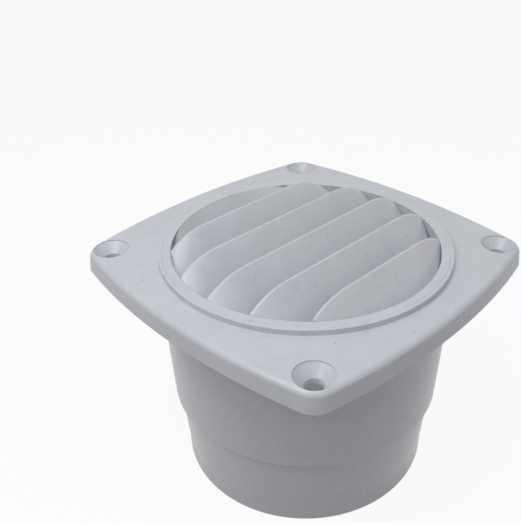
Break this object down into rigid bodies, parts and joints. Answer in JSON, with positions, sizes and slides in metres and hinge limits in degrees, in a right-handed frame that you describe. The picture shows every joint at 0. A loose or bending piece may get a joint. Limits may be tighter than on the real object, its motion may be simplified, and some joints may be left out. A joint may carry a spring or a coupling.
{
  "type": "louvred hose vent",
  "caption": "Square flanged vent with a round louvred grille on top and a stepped round tail below for a flexible duct hose.",
  "frame": {"origin": "centre of the hose tail's open end, which the vent stands on", "axes": "+Z along the tail's axis, from its end towards the louvred face; the louvres run along X and their hoods open towards +Y"},
  "size_m": [0.1, 0.1, 0.0761],
  "materials": {
    "white_plastic": "semi-gloss moulded white-grey plastic with a fine texture"
  },
  "bodies": {
    "root": {"flange_plate": "white_plastic", "hose_tail": "white_plastic", "grille_ring": "white_plastic", "rear_ramp": "white_plastic", "louvre_1": "white_plastic", "louvre_2": "white_plastic", "louvre_3": "white_plastic", "louvre_4": "white_plastic", "louvre_5": "white_plastic"}
  },
  "joints": []
}
